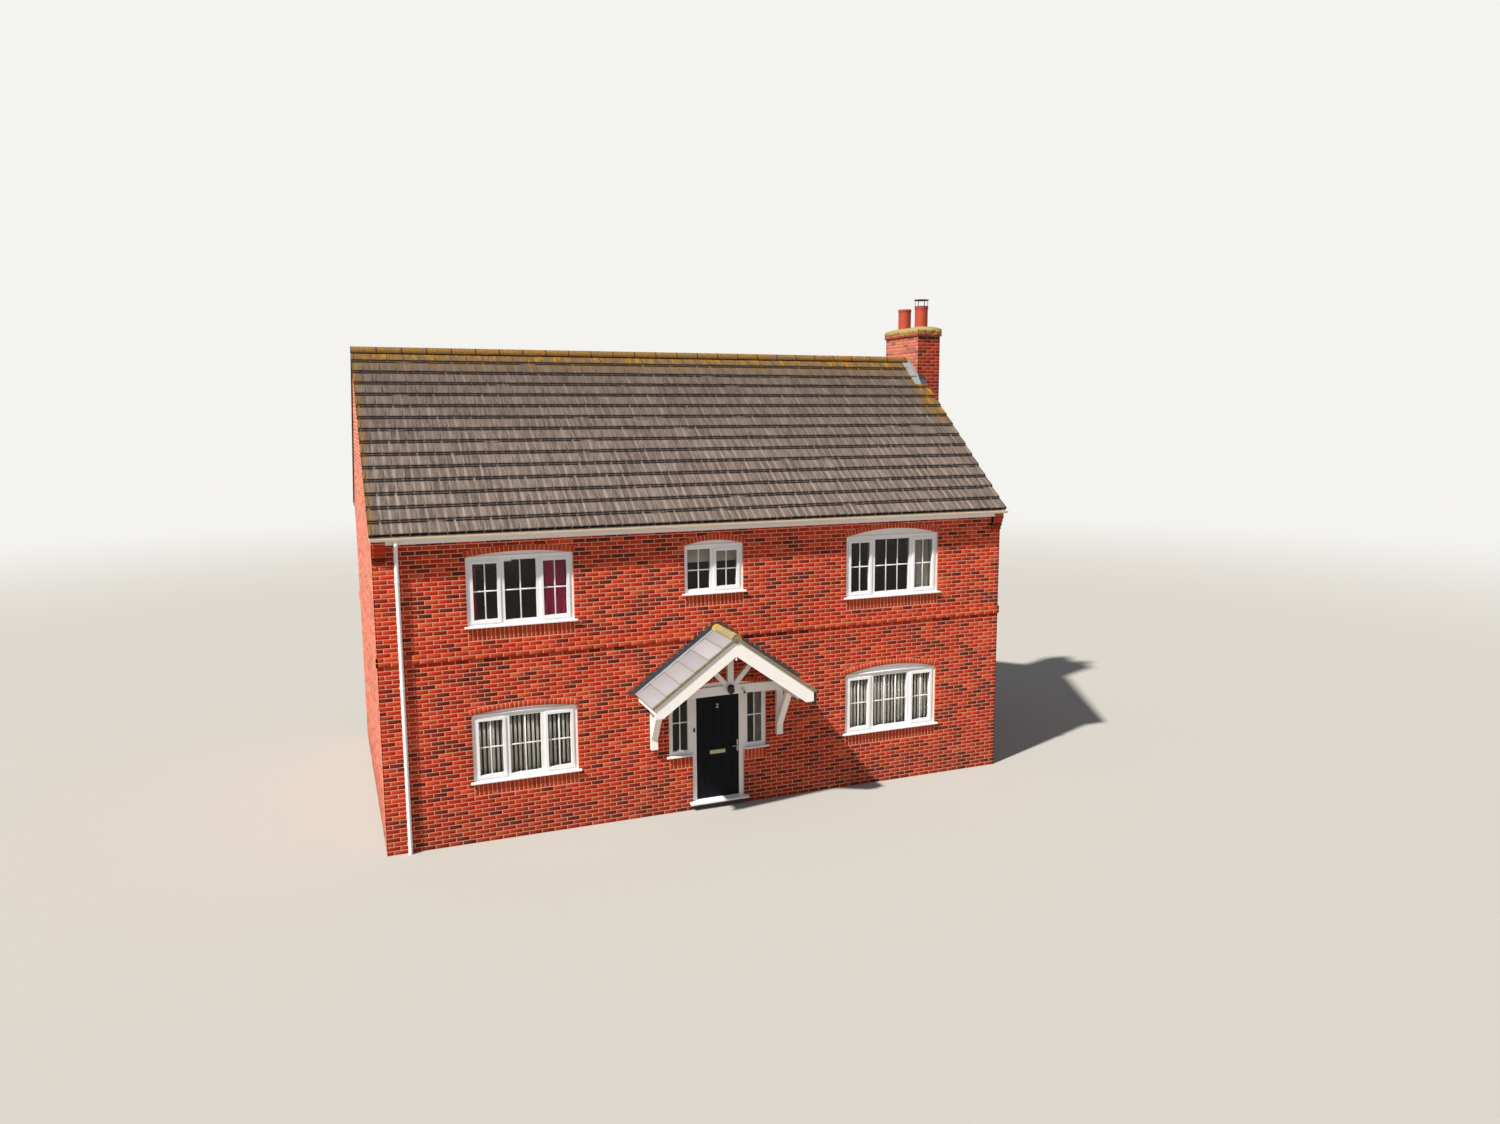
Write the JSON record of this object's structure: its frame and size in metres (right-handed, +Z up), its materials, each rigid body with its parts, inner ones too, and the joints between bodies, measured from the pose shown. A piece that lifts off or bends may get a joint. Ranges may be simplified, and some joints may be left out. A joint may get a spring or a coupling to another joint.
{
  "type": "two-storey detached brick house",
  "caption": "Two-storey detached brick house with tiled gable roof, end chimney, arched window heads, white frames, a timber gabled porch and a dark panelled front door that opens.",
  "frame": {"origin": "at ground level, in the middle of the plan of the four outer walls, on the underside of the ground floor", "axes": "+X runs along the front to the viewer's right, +Y from the front to the back, +Z up"},
  "size_m": [12.4979, 8.443, 9.845],
  "materials": {
    "brick": "rough facing brick with mortar joints",
    "smooth_brick": "smooth orange-red brick",
    "concrete_floor": "matt screed",
    "timber_floor": "matt boards",
    "roof_tile": "weathered concrete tile",
    "ridge_tile": "weathered concrete with lichen",
    "white_upvc": "satin white",
    "chimney_cap": "mortar and brick with lichen",
    "terracotta": "fired clay",
    "dark_metal": "dull dark metal",
    "lead": "dull lead sheet",
    "glass": "clear sealed units",
    "door_paint": "satin near-black navy",
    "satin_steel": "satin",
    "brass": "worn",
    "black_plastic": "black",
    "white_timber": "white paint",
    "stone_slab": "light grey slabs",
    "camera_plastic": "white and black plastic"
  },
  "bodies": {
    "house": {"front_wall_left": "brick", "front_wall_right": "brick", "front_wall_over_door": "brick", "back_wall": "brick", "left_gable_wall": "brick", "right_gable_wall": "brick", "ground_floor": "concrete_floor", "upper_floor": "timber_floor", "string_course": "smooth_brick", "window_arches": "smooth_brick", "soldier_courses": "smooth_brick", "kneelers": "brick", "roof_front_slope": "roof_tile", "roof_back_slope": "roof_tile", "ridge_tiles": "ridge_tile", "eaves_boards": "white_upvc", "gutters": "white_upvc", "downpipes": "white_upvc", "chimney_stack": "brick", "chimney_cap": "chimney_cap", "chimney_pots": "terracotta", "chimney_cowl": "dark_metal", "chimney_flashing": "lead", "front_window_frames": "white_upvc", "back_window_frames": "white_upvc", "front_window_glass": "glass", "back_window_glass": "glass", "window_sills": "white_upvc", "door_frame": "white_upvc", "door_sill": "white_upvc", "door_hinges": "satin_steel", "doorbell": "black_plastic", "porch_slabs": "stone_slab", "porch_ridge_tiles": "ridge_tile", "porch_truss": "white_timber", "porch_barge_boards": "white_timber", "porch_brackets": "white_timber", "porch_flashing": "lead", "porch_lantern": "black_plastic", "security_cameras": "camera_plastic"},
    "door_leaf": {"front_door": "door_paint", "door_handle": "satin_steel", "letter_plate": "brass", "door_knuckles": "satin_steel"}
  },
  "joints": [
    {"name": "front_door_hinge", "type": "hinge", "parent": "house", "child": "door_leaf", "pos_m": [-0.5445, -3.481, 1], "axis": [0, 0, 1], "range_deg": [0, 95]}
  ]
}
